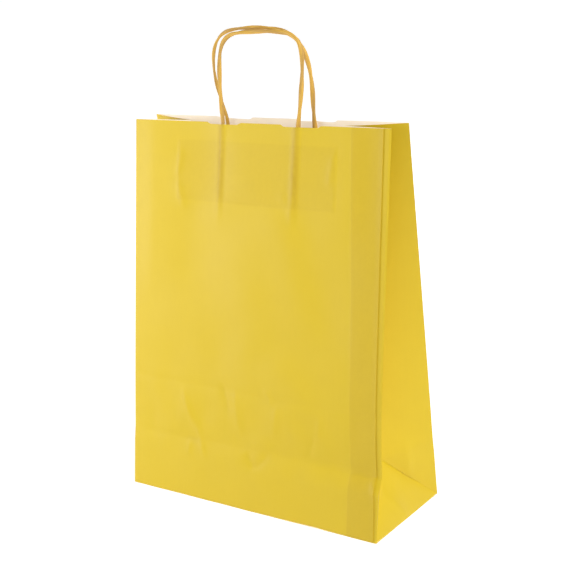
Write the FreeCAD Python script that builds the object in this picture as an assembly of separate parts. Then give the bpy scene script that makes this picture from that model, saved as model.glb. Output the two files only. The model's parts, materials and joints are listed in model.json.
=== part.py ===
"""Block-bottom paper gift bag with two twisted paper cord handles, in millimetres.

The bag stands on its squared bottom with its mouth nearly closed, so the wide walls lean towards each other and
the side gussets fold inwards. +Z is up, +X runs along the width and -Y is the front, the side of the glued seam.
The origin is the centre of the bottom, on the surface that the bag stands on.
"""

import FreeCAD, Part
import math
import os

V = FreeCAD.Vector

# Driving dimensions of the folded sheet
BODY_WIDTH = 240.0
BODY_DEPTH = 100.0
WALL_HEIGHT = 310.0
PAPER = 0.2

# How far the two wide walls lean inwards, from upright, as the bag stands
FRONT_LEAN = math.radians(7.4)
REAR_LEAN = math.radians(6.2)

# Bottom: two long flaps glued over two folded side tucks
BOTTOM_OVERLAP = 30.0
TUCK_DEPTH = 46.0

# Lengthwise seam: the front wall's cut edge lies a little inside the fold, on the flap below it
SEAM_SETBACK = 5.0
SEAM_FLAP_WIDTH = 34.0

# Clearances at the folds, where one sheet turns into the next
HINGE_GAP = 1.2
FOLD_RELIEF = 4.0
CREASE_RELIEF = 1.0
NARROW_ROW_SHARE = 1 / 3
TRIANGLE_SETBACK = 2.9
GUSSET_TOP_GAP = 0.5

# Shallow dips in the cut top edge, one at each handle leg: where each starts and ends across the wall
FRONT_DIPS = [(-46.5, -13.5), (24.5, 61.0)]
REAR_DIPS = [(-55.5, -20.5), (20.5, 58.5)]
DIP_DEPTH = 1.6
DIP_SLOPE = 3.0

# Glued strips that hold the cord ends inside each wide wall
PATCH_WIDTH = 150.0
PATCH_HEIGHT = 48.0
PATCH_DROP = 15.0
RIDGE_TOP = 3.2
RIDGE_FOOT = 10.0
RIDGE_CLEARANCE = 0.05

# Handle cords
CORD_DIAMETER = 3.5
CORD_OFFSET = 2.3
CORD_END_MARGIN = 1.0
CORD_START = 1.0
ARC_SHARE = 0.45
FRONT_HANDLE_LEAN = math.radians(5.0)
REAR_HANDLE_LEAN = math.radians(9.5)

# Handle routes, (along the width, above the top edge), in each handle's own plane
FRONT_ROUTE = [
    (-32.0, 1.0), (-33.6, 15.0), (-34.9, 33.0), (-35.2, 48.0), (-33.0, 60.0),
    (-25.6, 67.2), (-12.0, 69.0), (6.0, 69.3), (20.5, 69.0), (33.0, 67.2),
    (40.8, 60.0), (42.5, 46.0), (41.8, 30.0), (40.4, 14.0), (38.8, 1.0),
]
REAR_ROUTE = [
    (-44.4, 1.0), (-47.3, 14.4), (-50.0, 29.8), (-49.2, 45.5), (-45.4, 57.6),
    (-38.0, 66.4), (-27.4, 70.6), (-12.6, 71.8), (3.4, 71.9), (18.8, 70.3),
    (30.6, 65.2), (37.6, 56.2), (41.0, 43.4), (41.5, 27.9), (40.0, 13.4), (39.0, 1.0),
]

# Derived
HALF_WIDTH = BODY_WIDTH / 2
HALF_DEPTH = BODY_DEPTH / 2
GUSSET_ROWS = [4.0, HALF_DEPTH, 115.0, 180.0, 245.0, WALL_HEIGHT - GUSSET_TOP_GAP]


class Wall:
    """One wide wall: its points are given along the width, up the sheet, and inwards from its outer face."""

    def __init__(self, side, lean, handle_lean, route, dips):
        self.side = side
        self.lean = lean
        self.route = route
        self.dips = dips
        self.foot = V(0, side * HALF_DEPTH, 0)
        self.up = V(0, -side * math.sin(lean), math.cos(lean))
        self.inward = V(0, -side * math.cos(lean), -math.sin(lean))
        self.handle_up = V(0, -side * math.sin(handle_lean), math.cos(handle_lean))
        self.leg_places = (route[0][0], route[-1][0])

    def point(self, across, height, depth):
        return self.foot + V(across, 0, 0) + self.up * height + self.inward * depth

    def handle_point(self, across, above):
        root = self.point(across, WALL_HEIGHT, CORD_OFFSET)
        return root + self.handle_up * above


FRONT = Wall(-1, FRONT_LEAN, FRONT_HANDLE_LEAN, FRONT_ROUTE, FRONT_DIPS)
REAR = Wall(1, REAR_LEAN, REAR_HANDLE_LEAN, REAR_ROUTE, REAR_DIPS)


def save(name, *solids):
    """Writes one node, a single solid or a group of separate ones, and says how large it is."""
    shape = solids[0] if len(solids) == 1 else Part.makeCompound(list(solids))
    shape.exportStep("parts/" + name + ".step")
    valid = all(s.isValid() and s.isClosed() and s.Volume > 0 for s in solids)
    print(f"{name:24s} {shape.Volume:10.1f} mm3  {'ok' if valid else 'NOT VALID'}")


def prism(points, offset):
    """A flat polygon pushed along offset."""
    return Part.Face(Part.makePolygon(points + points[:1])).extrude(offset)


def wall_plate(wall, outline, depth, thickness=PAPER):
    """A flat piece of paper parallel to a wall: outline is (across, height) and depth is that of its outer face."""
    return prism([wall.point(x, s, depth) for x, s in outline], wall.inward * thickness)


def rectangle(x0, x1, s0, s1):
    return [(x0, s0), (x1, s0), (x1, s1), (x0, s1)]


def dipped_outline(wall, left, right):
    """A wall's outline, anticlockwise, with the shallow dips of its top edge."""
    corners = [(left, HINGE_GAP), (right, HINGE_GAP), (right, WALL_HEIGHT)]
    for start, end in reversed(wall.dips):
        corners += [
            (end, WALL_HEIGHT),
            (end - DIP_SLOPE, WALL_HEIGHT - DIP_DEPTH),
            (start + DIP_SLOPE, WALL_HEIGHT - DIP_DEPTH),
            (start, WALL_HEIGHT),
        ]
    return corners + [(left, WALL_HEIGHT)]


def crease_point(hand, height):
    """The middle crease of a side gusset: half the depth from both walls' edges, and square to them."""
    front_edge = FRONT.point(hand * HALF_WIDTH, height, 0)
    rear_edge = REAR.point(hand * HALF_WIDTH, height, 0)
    middle = (front_edge + rear_edge) * 0.5
    half_gap = (rear_edge.y - front_edge.y) / 2
    drop = half_gap * math.tan((FRONT_LEAN + REAR_LEAN) / 2)
    inset = math.sqrt(HALF_DEPTH ** 2 - half_gap ** 2 - drop ** 2)
    return middle + V(-hand * inset, 0, -drop)


def base_corner(wall, hand):
    return V(hand * HALF_WIDTH, wall.side * HALF_DEPTH, 0)


def gusset_row(wall, hand, height):
    """The two ends of one row across a half gusset, a little short of the wall's fold and of the crease."""
    edge = wall.point(hand * HALF_WIDTH, height, 0)
    if height < HALF_DEPTH:
        corner = base_corner(wall, hand)
        inner = corner + (crease_point(hand, HALF_DEPTH) - corner) * (height / HALF_DEPTH)
    else:
        inner = crease_point(hand, height)
    across = inner - edge
    width = across.Length
    across.normalize()
    most = width * NARROW_ROW_SHARE
    return edge + across * min(FOLD_RELIEF, most), inner - across * min(CREASE_RELIEF, most)


def folded_sheet(rows, offset):
    """A closed solid from rows of two points each, its far side pushed along offset."""
    shift = [[p + offset for p in row] for row in rows]
    faces = []

    def add(*points):
        faces.append(Part.Face(Part.makePolygon(list(points) + [points[0]])))

    for low, high, low_far, high_far in zip(rows, rows[1:], shift, shift[1:]):
        add(low[0], low[1], high[1])
        add(low[0], high[1], high[0])
        add(low_far[0], high_far[1], low_far[1])
        add(low_far[0], high_far[0], high_far[1])
        add(low[0], high[0], high_far[0], low_far[0])
        add(low[1], low_far[1], high_far[1], high[1])
    for row, far in ((rows[0], shift[0]), (rows[-1], shift[-1])):
        add(row[0], row[1], far[1], far[0])
    solid = Part.Solid(Part.Shell(faces))
    solid.fixTolerance(1e-6)
    if solid.Volume < 0:
        solid.reverse()
    return solid


def half_gusset(wall, hand):
    rows = [gusset_row(wall, hand, height) for height in GUSSET_ROWS]
    along = rows[-1][0] - rows[1][0]
    across = rows[3][1] - rows[3][0]
    normal = along.cross(across)
    normal.normalize()
    if normal.dot(V(0, wall.side, 0)) < 0:
        normal = normal * -1
    return folded_sheet(rows, normal * PAPER)


def base_triangle(hand):
    """The small triangle between the bottom's side edge and the two slanted creases of the gusset."""
    apex = crease_point(hand, HALF_DEPTH)
    middle = V(hand * HALF_WIDTH, 0, 0)
    rise = V(apex.x - middle.x, 0, apex.z)
    rise.normalize()
    reach = HALF_DEPTH - TRIANGLE_SETBACK
    outline = [
        middle + rise * HINGE_GAP + V(0, -reach, 0),
        middle + rise * HINGE_GAP + V(0, reach, 0),
        apex - rise * CREASE_RELIEF,
    ]
    outwards = V(rise.z * hand, 0, -rise.x * hand)
    return prism(outline, outwards * -PAPER)


def patch_ridges(wall):
    """The inner strip's section, (across, depth), rising over each cord end and back to the outer strip."""
    inner = [(-PATCH_WIDTH / 2, 2 * PAPER)]
    top = CORD_OFFSET + CORD_DIAMETER / 2 + RIDGE_CLEARANCE
    for leg in wall.leg_places:
        inner += [
            (leg - RIDGE_FOOT / 2, 2 * PAPER),
            (leg - RIDGE_TOP / 2, top),
            (leg + RIDGE_TOP / 2, top),
            (leg + RIDGE_FOOT / 2, 2 * PAPER),
        ]
    inner.append((PATCH_WIDTH / 2, 2 * PAPER))
    outer = [(x, depth + PAPER) for x, depth in reversed(inner)]
    return inner + outer


def save_wall(wall, name):
    """A wide wall's glued pieces: the two strips over and under the cord ends, and the ends themselves."""
    low = WALL_HEIGHT - PATCH_DROP - PATCH_HEIGHT
    strip = rectangle(-PATCH_WIDTH / 2, PATCH_WIDTH / 2, low, low + PATCH_HEIGHT)
    save(name + "_patch_outer", wall_plate(wall, strip, PAPER))
    section = [wall.point(x, low, depth) for x, depth in patch_ridges(wall)]
    save(name + "_patch_inner", prism(section, wall.up * PATCH_HEIGHT))
    start = low + CORD_END_MARGIN
    ends = [
        Part.makeCylinder(
            CORD_DIAMETER / 2, WALL_HEIGHT - start, wall.point(leg, start, CORD_OFFSET), wall.up
        )
        for leg in wall.leg_places
    ]
    save(name + "_cord_ends", *ends)


def rounded_path(points):
    """Straight runs joined by tangent arcs, each as large as its two runs allow, and the arcs' radii."""
    edges, radii = [], []
    start = points[0]
    for before, corner, after in zip(points, points[1:], points[2:]):
        back, ahead = before - corner, after - corner
        turn = math.pi - back.getAngle(ahead)
        reach = ARC_SHARE * min(back.Length, ahead.Length)
        radii.append(reach / math.tan(turn / 2))
        back.normalize()
        ahead.normalize()
        into, out = corner + back * reach, corner + ahead * reach
        towards = back + ahead
        towards.normalize()
        sagitta = radii[-1] / math.cos(turn / 2) - radii[-1]
        edges.append(Part.LineSegment(start, into).toShape())
        edges.append(Part.Arc(into, corner + towards * sagitta, out).toShape())
        start = out
    edges.append(Part.LineSegment(start, points[-1]).toShape())
    return Part.Wire(edges), radii


def save_handle(wall, name):
    points = [wall.handle_point(x, above) for x, above in wall.route]
    path, radii = rounded_path(points)
    direction = points[1] - points[0]
    section = Part.Wire(Part.makeCircle(CORD_DIAMETER / 2, points[0], direction))
    tube = path.makePipeShell([section], True, False)
    save(name, tube)
    expected = math.pi * CORD_DIAMETER ** 2 / 4 * path.Length
    print(f"  length {path.Length:.1f} mm, volume / (section x length) {tube.Volume / expected:.4f}")
    print("  radii " + " ".join(f"{r:.0f}" for r in radii))


def save_bottom():
    """Side tucks on the inside, then the rear flap, then the front flap that the bag stands on."""
    reach = BOTTOM_OVERLAP / 2
    width = V(BODY_WIDTH, 0, 0)
    for name, side, level in (("bottom_front_flap", -1, 0), ("bottom_rear_flap", 1, 1)):
        low, high = level * PAPER, (level + 1) * PAPER
        fold, free = side * HALF_DEPTH, -side * reach
        section = [V(-HALF_WIDTH, y, z) for y, z in ((fold, low), (free, low), (free, high), (fold, high))]
        save(name, prism(section, width))
    for name, hand in (("bottom_left_tuck", -1), ("bottom_right_tuck", 1)):
        fold, free = hand * HALF_WIDTH, hand * (HALF_WIDTH - TUCK_DEPTH)
        short = HALF_DEPTH - TUCK_DEPTH
        outline = [(fold, -HALF_DEPTH), (fold, HALF_DEPTH), (free, short), (free, -short)]
        save(name, prism([V(x, y, 2 * PAPER) for x, y in outline], V(0, 0, PAPER)))


def main():
    os.makedirs("parts", exist_ok=True)
    save_bottom()
    save("front_panel", wall_plate(FRONT, dipped_outline(FRONT, -HALF_WIDTH, HALF_WIDTH - SEAM_SETBACK), 0))
    save("rear_panel", wall_plate(REAR, dipped_outline(REAR, -HALF_WIDTH, HALF_WIDTH), 0))
    flap = rectangle(HALF_WIDTH - SEAM_FLAP_WIDTH, HALF_WIDTH, HINGE_GAP, WALL_HEIGHT)
    save("side_seam_flap", wall_plate(FRONT, flap, PAPER))
    for hand, hand_name in ((-1, "left"), (1, "right")):
        save(hand_name + "_base_triangle", base_triangle(hand))
        for wall, wall_name in ((FRONT, "front"), (REAR, "rear")):
            save(f"{hand_name}_gusset_{wall_name}_half", half_gusset(wall, hand))
    for wall, wall_name in ((FRONT, "front"), (REAR, "rear")):
        save_wall(wall, wall_name)
        save_handle(wall, wall_name + "_handle_cord")


main()
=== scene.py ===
# %% [markdown]
# # A paper gift bag with twisted cord handles
#
# This notebook dresses a finished model of a block-bottom paper bag. The model's parts, joints and sizes
# come first and stay as they are. Each cell then builds a sheet, strip or cord of paper that stands for a
# part, and at the end every piece but the half gussets and the handles is tied to what it moves with.
# Everything is in metres, with +Z up and -Y towards the front of the bag.

# %% Load the frame
import json
import math

import bpy
import numpy as np
from mathutils import Matrix, Vector, noise


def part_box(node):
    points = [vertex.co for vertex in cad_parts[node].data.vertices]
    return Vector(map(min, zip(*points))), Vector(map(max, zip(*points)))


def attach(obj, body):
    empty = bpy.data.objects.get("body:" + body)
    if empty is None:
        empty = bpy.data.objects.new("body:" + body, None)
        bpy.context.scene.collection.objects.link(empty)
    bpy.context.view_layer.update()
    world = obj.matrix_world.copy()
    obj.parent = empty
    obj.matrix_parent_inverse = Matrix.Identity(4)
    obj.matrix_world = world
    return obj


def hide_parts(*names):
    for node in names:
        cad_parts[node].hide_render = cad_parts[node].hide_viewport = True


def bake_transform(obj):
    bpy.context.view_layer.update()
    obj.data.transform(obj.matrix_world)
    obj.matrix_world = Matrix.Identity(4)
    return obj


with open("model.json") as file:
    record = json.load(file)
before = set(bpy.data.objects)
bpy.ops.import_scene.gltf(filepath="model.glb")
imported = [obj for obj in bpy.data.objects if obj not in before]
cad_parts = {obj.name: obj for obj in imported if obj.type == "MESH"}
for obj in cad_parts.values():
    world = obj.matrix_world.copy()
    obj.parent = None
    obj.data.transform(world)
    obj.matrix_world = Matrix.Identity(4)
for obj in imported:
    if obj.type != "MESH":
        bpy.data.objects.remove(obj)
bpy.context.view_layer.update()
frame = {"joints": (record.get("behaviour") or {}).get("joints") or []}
JOINTS = {joint["name"]: joint for joint in frame["joints"]}

# %% [markdown]
# ## The camera
#
# A bag is a box of flat faces, so the picture stands or falls with the viewing angle. The camera stands to
# the right of the front, a little above the bag, and far enough away for upright edges to stay nearly
# parallel. It is turned by a few degrees about its own line of sight, as a hand-held camera is.

# %% Place the camera
CAMERA_AZIMUTH = math.radians(34.9)
CAMERA_ELEVATION = math.radians(15.0)
CAMERA_ROLL = math.radians(-2.95)
CAMERA_DISTANCE = 0.955
CAMERA_LENS = 75.8
CAMERA_TARGET = Vector((0.0137, 0.0, 0.1779))


def make_camera():
    """Stands the camera CAMERA_DISTANCE from its target and rolls it about the line of sight."""
    data = bpy.data.cameras.new("camera")
    data.lens = CAMERA_LENS
    data.clip_start = 0.01
    data.clip_end = 100
    camera = bpy.data.objects.new("camera", data)
    bpy.context.scene.collection.objects.link(camera)
    level = math.cos(CAMERA_ELEVATION)
    back = Vector((
        math.sin(CAMERA_AZIMUTH) * level,
        -math.cos(CAMERA_AZIMUTH) * level,
        math.sin(CAMERA_ELEVATION),
    ))
    right = Vector((math.cos(CAMERA_AZIMUTH), math.sin(CAMERA_AZIMUTH), 0))
    turned = Matrix.Rotation(CAMERA_ROLL, 3, back) @ right
    columns = Matrix((turned, back.cross(turned), back)).transposed()
    camera.matrix_world = Matrix.Translation(CAMERA_TARGET + back * CAMERA_DISTANCE) @ columns.to_4x4()
    bpy.context.scene.camera = camera
    return camera


camera = make_camera()
print("camera at", [round(c, 3) for c in camera.matrix_world.translation])

# %% [markdown]
# ## Where things are on the folded sheet
#
# A bag maker thinks in the flat sheet: so far across a wall, so far up it. A small class turns such a place
# into a point in space. A wall's foot, its lean and its height are read from the frame's hinges, so that
# every sheet made here turns about exactly the fold that the model turns about.

# %% The two wide walls
HALF_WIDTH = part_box("rear_panel")[1].x


class Wall:
    """A wide wall: places on it are given across, up the sheet, and inwards from its outer face."""

    def __init__(self, name, side):
        fold = JOINTS[f"right_gusset_{name}_fold"]
        axis = Vector(fold["axis"])
        self.name = name
        self.side = side
        self.body = f"{name}_wall"
        self.handle_body = f"{name}_handle"
        self.foot = Vector((0, fold["pos_m"][1], 0))
        self.up = axis if axis.z > 0 else -axis
        self.inward = Vector((0, -side * self.up.z, side * self.up.y))
        self.lean = math.atan2(-side * self.up.y, self.up.z)
        self.height = (Vector(JOINTS[f"{name}_handle_fold"]["pos_m"]) - self.foot) @ self.up

    def point(self, across, height, depth):
        return self.foot + Vector((across, 0, 0)) + self.up * height + self.inward * depth

    def points(self, across, height, depth):
        """The same for arrays: one row of three numbers for each place."""
        across, height, depth = np.broadcast_arrays(across, height, depth)
        flat = np.stack([across, np.zeros_like(across), np.zeros_like(across)], -1)
        rise = height[..., None] * np.array(self.up)
        return np.array(self.foot) + flat + rise + depth[..., None] * np.array(self.inward)


FRONT = Wall("front", -1)
REAR = Wall("rear", 1)
WALLS = (FRONT, REAR)
HALF_DEPTH = -FRONT.foot.y
HEIGHT = FRONT.height
print(f"walls {2 * HALF_WIDTH:.3f} wide and {HEIGHT:.3f} high, bottom {2 * HALF_DEPTH:.3f} deep")
for wall in WALLS:
    print(f"  the {wall.name} wall leans in by {math.degrees(wall.lean):.1f} degrees")

# %% [markdown]
# ## The handle cords
#
# Each handle is one narrow strip of paper, folded flat and twisted slowly into a cord. Its two ends are
# glued inside the wall, and between them it springs up as a squarish loop. The route below is a short list
# of places, given in millimetres: so far across the wall, so far above its top edge.

# %% The handles' routes
MM = 0.001
CORD_DIAMETER = 3.5 * MM
CORD_DEPTH = 2.3 * MM
HANDLE_LEAN = {"front": math.radians(5.0), "rear": math.radians(9.5)}
HANDLE_ROUTE = {
    "front": [
        (-32.0, 1.0), (-33.6, 15.0), (-34.9, 33.0), (-35.2, 48.0), (-33.0, 60.0),
        (-25.6, 67.2), (-12.0, 69.0), (6.0, 69.3), (20.5, 69.0), (33.0, 67.2),
        (40.8, 60.0), (42.5, 46.0), (41.8, 30.0), (40.4, 14.0), (38.8, 1.0),
    ],
    "rear": [
        (-44.4, 1.0), (-47.3, 14.4), (-50.0, 29.8), (-49.2, 45.5), (-45.4, 57.6),
        (-38.0, 66.4), (-27.4, 70.6), (-12.6, 71.8), (3.4, 71.9), (18.8, 70.3),
        (30.6, 65.2), (37.6, 56.2), (41.0, 43.4), (41.5, 27.9), (40.0, 13.4), (39.0, 1.0),
    ],
}
PATCH_DROP = 15 * MM
GLUED_STARTS = (-19.0, -9.0)


def leg_places(wall):
    """How far across the wall its handle's two legs stand."""
    route = HANDLE_ROUTE[wall.name]
    return route[0][0] * MM, route[-1][0] * MM


def handle_points(wall):
    """The route in space: up out of the glued strip, round the loop in the handle's plane, and down."""
    lean = HANDLE_LEAN[wall.name]
    up = Vector((0, -wall.side * math.sin(lean), math.cos(lean)))
    route = HANDLE_ROUTE[wall.name]
    loop = [wall.point(x * MM, wall.height, CORD_DEPTH) + up * (above * MM) for x, above in route]
    left, right = leg_places(wall)
    down = [wall.height + below * MM for below in GLUED_STARTS]
    before = [wall.point(left, height, CORD_DEPTH) for height in down]
    after = [wall.point(right, height, CORD_DEPTH) for height in reversed(down)]
    return before + loop + after


for wall in WALLS:
    print(wall.name, "handle has", len(handle_points(wall)), "points")

# %% [markdown]
# ## From a few places to a smooth line
#
# A springy cord bends evenly, with no corners. Blender's NURBS spline does the same between the places that
# control it, so it turns the short list into one smooth line. The line is then cut into even steps, because
# the cord's skin is built as a ring of points at every step.

# %% A smooth line through space
RING_STEP = 0.8 * MM


def spline_line(points, name):
    """Points along the NURBS spline that these points control, evenly spaced, and its length."""
    data = bpy.data.curves.new(name, "CURVE")
    data.dimensions = "3D"
    data.resolution_u = 24
    spline = data.splines.new("NURBS")
    spline.points.add(len(points) - 1)
    for control, place in zip(spline.points, points):
        control.co = (*place, 1)
    spline.order_u = 3
    spline.use_endpoint_u = True
    curve = bpy.data.objects.new(name, data)
    bpy.context.scene.collection.objects.link(curve)
    mesh = bpy.data.meshes.new_from_object(curve)
    line = np.array([v.co for v in mesh.vertices], float)
    bpy.data.meshes.remove(mesh)
    bpy.data.objects.remove(curve)
    bpy.data.curves.remove(data)
    travelled = np.concatenate([[0], np.cumsum(np.linalg.norm(np.diff(line, axis=0), axis=1))])
    even = np.linspace(0, travelled[-1], max(8, round(travelled[-1] / RING_STEP)))
    return np.stack([np.interp(even, travelled, line[:, k]) for k in range(3)], -1), travelled[-1]


def rings_of(line):
    """Two square directions at each point of the line, carried along it without twisting."""
    ahead = np.gradient(line, axis=0)
    ahead /= np.linalg.norm(ahead, axis=1)[:, None]
    side = np.cross(ahead[0], (0.0, 1.0, 0.0))
    sides = []
    for direction in ahead:
        side = side - direction * (side @ direction)
        side = side / np.linalg.norm(side)
        sides.append(side)
    sides = np.array(sides)
    return sides, np.cross(ahead, sides)


print(f"a ring at every {RING_STEP * 1000:.1f} mm")

# %% Mesh helpers
SMOOTH_ANGLE = math.radians(35)


def link(name, mesh):
    piece = bpy.data.objects.new(name, mesh)
    bpy.context.scene.collection.objects.link(piece)
    return piece


def only(piece):
    """Makes this piece the only one selected, and active."""
    bpy.ops.object.select_all(action="DESELECT")
    piece.select_set(True)
    bpy.context.view_layer.objects.active = piece


def tidy_mesh(piece):
    """Merges doubled vertices and turns every face outwards."""
    only(piece)
    bpy.ops.object.mode_set(mode="EDIT")
    bpy.ops.mesh.select_all(action="SELECT")
    bpy.ops.mesh.remove_doubles(threshold=1e-6)
    bpy.ops.mesh.normals_make_consistent(inside=False)
    bpy.ops.object.mode_set(mode="OBJECT")


def smooth(x):
    """0 below 0, 1 above 1, and a soft S between."""
    x = np.clip(x, 0, 1)
    return x * x * (3 - 2 * x)


print(f"edges sharper than {math.degrees(SMOOTH_ANGLE):.0f} degrees stay sharp")

# %% [markdown]
# ## The cord's skin
#
# Seen close, the cord isn't round: it is a flat bundle with lengthwise folds, and it looks narrow or wide
# as the twist turns it. A bevelled curve would give a plain round wire. So the skin is swept along the line
# as rings whose outline is that flat folded bundle, and turning the outline from ring to ring makes the
# twist. Each point also keeps its place in the bundle, so that the finish can follow the twist.

# %% The outline of the folded strip
CORD_SIDES = 24
FLAT_SHARE = 0.19
FOLD_SHARE = 0.05
FOLDS = ((1.5, 0.7, 6), (2.5, -1.1, 8))
UNEVEN_SHARE = 0.05
UNEVEN_LENGTH = 11 * MM


def outline(phase, travelled):
    """How far the skin stands from the cord's middle, as a share of the radius.

    It is a flattened round, with the grooves that FOLDS gives as half waves round, turn and sharpness.
    """
    strip = 1 + FLAT_SHARE * np.cos(2 * phase)
    grooves = sum(np.abs(np.cos(waves * phase + turn)) ** sharp for waves, turn, sharp in FOLDS)
    uneven = np.array([
        noise.noise(Vector((math.cos(p) * 1.6, math.sin(p) * 1.6, t / UNEVEN_LENGTH)))
        for p, t in zip(phase.ravel(), travelled.ravel())
    ]).reshape(phase.shape)
    return strip - FOLD_SHARE * grooves + UNEVEN_SHARE * uneven


def tube_faces(rows):
    """The faces of a closed tube of rings, whose two end points come after all the rings."""
    faces = []
    first = rows * CORD_SIDES
    top = first - CORD_SIDES
    for low in range(0, top, CORD_SIDES):
        high = low + CORD_SIDES
        for column in range(CORD_SIDES):
            after = (column + 1) % CORD_SIDES
            faces.append((low + column, low + after, high + after, high + column))
    for column in range(CORD_SIDES):
        after = (column + 1) % CORD_SIDES
        faces.append((first, after, column))
        faces.append((first + 1, top + column, top + after))
    return faces


print("a ring has", CORD_SIDES, "points")

# %% The twisted cord
TWIST_PITCH = 58 * MM
STRAND_LENGTH = 40 * MM
BLUNT_END = 0.5


def end_taper(count):
    """The last two rings at each end close in, down to BLUNT_END of the width."""
    place = np.arange(count)
    share = np.clip(np.minimum(place, place[::-1]) / 2.0, 0, 1)
    return np.sqrt(np.clip(1 - (1 - share) ** 2, BLUNT_END ** 2, 1))


def twisted_cord(name, line, start_turn=0.0, fullness=(1.0, 1.0)):
    """A cord's skin along line: an outline that turns slowly as it goes, with closed ends.

    fullness is how thick the cord is at its start and at its end, as a share of CORD_DIAMETER.
    """
    sides, ups = rings_of(line)
    count = len(line)
    angle = np.linspace(0, 2 * math.pi, CORD_SIDES, endpoint=False)
    travelled = np.arange(count) * np.linalg.norm(line[1] - line[0])
    phase = angle[None, :] - (start_turn + 2 * math.pi * travelled / TWIST_PITCH)[:, None]
    along = np.repeat(travelled[:, None], CORD_SIDES, 1)
    full = fullness[0] + (fullness[1] - fullness[0]) * smooth(np.linspace(-0.5, 1.5, count))
    radius = outline(phase, along) * (end_taper(count) * full)[:, None] * CORD_DIAMETER / 2
    ring = (
        line[:, None, :]
        + (radius * np.cos(angle))[..., None] * sides[:, None, :]
        + (radius * np.sin(angle))[..., None] * ups[:, None, :]
    )
    verts = [tuple(p) for p in ring.reshape(-1, 3)] + [tuple(line[0]), tuple(line[-1])]
    mesh = bpy.data.meshes.new(name)
    mesh.from_pydata(verts, [], tube_faces(count))
    strand = mesh.attributes.new("strand", "FLOAT_VECTOR", "POINT")
    spots = np.zeros((len(verts), 3), np.float32)
    spots[:-2] = np.stack([np.cos(phase), np.sin(phase), along / STRAND_LENGTH], -1).reshape(-1, 3)
    strand.data.foreach_set("vector", spots.ravel())
    piece = link(name, mesh)
    tidy_mesh(piece)
    only(piece)
    bpy.ops.object.shade_smooth()
    return piece


print(f"one full twist in {TWIST_PITCH * 1000:.0f} mm")

# %% Make both handles
START_TURN = {"front": 0.6, "rear": 2.2}
FULLNESS = {"front": (0.90, 0.91), "rear": (0.70, 0.95)}
handles = {}
handle_lines = {}
for wall in WALLS:
    line, length = spline_line(handle_points(wall), wall.name + "_route")
    cord = twisted_cord(wall.name + "_handle", line, START_TURN[wall.name], FULLNESS[wall.name])
    handles[wall.name] = cord
    handle_lines[wall.name] = (line, length)
    print(f"{cord.name}: {length * 1000:.0f} mm along its middle, {len(cord.data.polygons)} faces")

# %% [markdown]
# ## The paper
#
# The bag is one sheet of smooth kraft paper, printed a warm yellow on the outside and left white inside.
# Four things make it look like paper and not like plastic: the fine fibres in the surface, the faint clouds
# where the pulp lies thicker, the white core that shows at the cut edges, and the places where something
# glued behind the sheet shows through. Shader maths is written as plain expressions on sockets, because a
# sum is easier to read than a drawing of its nodes.

# %% A socket that does sums
LINEAR_FROM = 2.2


def paint(red, green, blue):
    """A colour as a painter mixes it, 0 to 255, in the linear light that shaders use."""
    return (*((channel / 255) ** LINEAR_FROM for channel in (red, green, blue)), 1.0)


class Socket:
    """One output of a node. Sums with it add Math nodes to its material."""

    def __init__(self, finish, socket):
        self.finish = finish
        self.socket = socket

    def sum(self, operation, first, second=0.0):
        return self.finish.node("ShaderNodeMath", {"operation": operation}, {0: first, 1: second})

    def __add__(self, other):
        return self.sum("ADD", self, other)

    __radd__ = __add__

    def __sub__(self, other):
        return self.sum("SUBTRACT", self, other)

    def __rsub__(self, other):
        return self.sum("SUBTRACT", other, self)

    def __mul__(self, other):
        return self.sum("MULTIPLY", self, other)

    __rmul__ = __mul__

    def absolute(self):
        return self.sum("ABSOLUTE", self)

    def rises(self, low, high):
        """0 below low, 1 above high, and smooth between them."""
        return self.finish.node(
            "ShaderNodeMapRange", {"interpolation_type": "SMOOTHSTEP"},
            {0: self, 1: low, 2: high, 3: 0.0, 4: 1.0},
        )

    def part(self, name):
        """Another output of the same node."""
        return Socket(self.finish, self.socket.node.outputs[name])


class Finish:
    """A material under construction, with one Principled shader."""

    def __init__(self, name):
        self.material = bpy.data.materials.new(name)
        self.material.use_nodes = True
        self.tree = self.material.node_tree
        self.shader = self.tree.nodes["Principled BSDF"]

    def node(self, kind, settings=None, inputs=None, output=0):
        """Adds any node: its settings first, then the values or links of its sockets."""
        made = self.tree.nodes.new(kind)
        for setting, value in (settings or {}).items():
            setattr(made, setting, value)
        for socket, value in (inputs or {}).items():
            self.feed(made.inputs[socket], value)
        return Socket(self, made.outputs[output])

    def feed(self, target, value):
        if isinstance(value, Socket):
            self.tree.links.new(value.socket, target)
        else:
            target.default_value = value

    def mix(self, factor, first, second, blend="MIX"):
        """Colour mixed from two others."""
        settings = {"data_type": "RGBA", "blend_type": blend}
        return self.node("ShaderNodeMix", settings, {0: factor, 6: first, 7: second}, 2)

    def noise(self, place, scale, detail=2.0, rough=0.5):
        inputs = {"Vector": place, "Scale": scale, "Detail": detail, "Roughness": rough}
        return self.node("ShaderNodeTexNoise", {}, inputs)

    def surface(self, **values):
        """Sets the Principled shader's own sockets, by value or by link."""
        for name, value in values.items():
            self.feed(self.shader.inputs[name.replace("_", " ")], value)
        return self.material


print("a middle yellow in linear light:", [round(channel, 3) for channel in paint(204, 175, 30)])

# %% Finishes for the sheet
YELLOW = paint(204, 175, 30)
DEEP_YELLOW = paint(200, 171, 28)
# The colour that darkens the print where it shows through, where shade is painted, and where the seam is
# stained.
SHADE_AND_STAIN_TINT = (0.60, 0.47, 0.20, 1.0)
RIB_STRETCH = 0.03


def paper_grain(finish, place):
    """Fine fibres, the faint clouds of the pulp, and a bump from both."""
    fibres = finish.noise(place, 1500.0, 4.0, 0.65)
    clouds = finish.noise(place, 70.0, 3.0, 0.55)
    height = fibres + clouds * 0.6
    bump = finish.node("ShaderNodeBump", {}, {"Strength": 0.10, "Distance": 0.0003, "Height": height})
    return fibres, clouds, bump


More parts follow.
